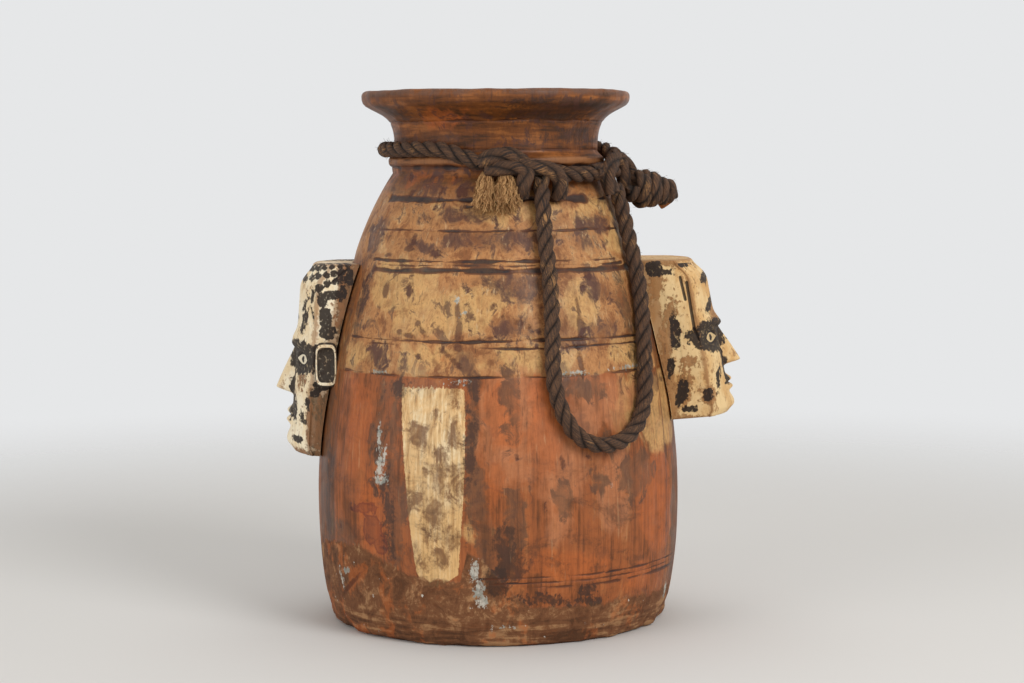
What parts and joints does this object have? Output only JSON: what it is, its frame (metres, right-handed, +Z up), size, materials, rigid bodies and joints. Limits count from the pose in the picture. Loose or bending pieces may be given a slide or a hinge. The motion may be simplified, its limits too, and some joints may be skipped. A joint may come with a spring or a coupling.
{
  "type": "carved wooden pot",
  "caption": "Hollowed wooden pot with a flared mouth, two carved heads on its flanks and a knotted rope with a hanging loop.",
  "frame": {"origin": "centre of the flat base on the pot's axis", "axes": "+Z up along the pot's axis; the heads face +X and -X; the front, with the hanging loop, faces -Y"},
  "size_m": [0.3646, 0.284, 0.41],
  "materials": {
    "pot_wood": "worn, oiled by handling",
    "mask_wood": "bare, with dark stained patches",
    "peg_wood": "bare",
    "dark_rope": "coarse laid fibre",
    "cut_rope": "cut fibre",
    "frayed_fibre": "loose fibre"
  },
  "bodies": {
    "pot": {"pot_body": "pot_wood", "mask_left": "mask_wood", "mask_right": "mask_wood", "peg_left_upper": "peg_wood", "peg_left_lower": "peg_wood", "peg_right_upper": "peg_wood", "peg_right_lower": "peg_wood", "rope_collar": "dark_rope", "rope_front_strand": "dark_rope", "knot_front": "dark_rope", "knot_side": "dark_rope", "rope_tail": "dark_rope", "rope_cut_end": "cut_rope", "frayed_tuft_left": "frayed_fibre", "frayed_tuft_right": "frayed_fibre"},
    "loop": {"rope_loop": "dark_rope"}
  },
  "joints": [
    {"name": "loop_swing", "type": "hinge", "parent": "pot", "child": "loop", "pos_m": [0.03383, -0.09294, 0.337], "axis": [-0.7254, -0.6884, 0], "range_deg": [0, 100]}
  ]
}
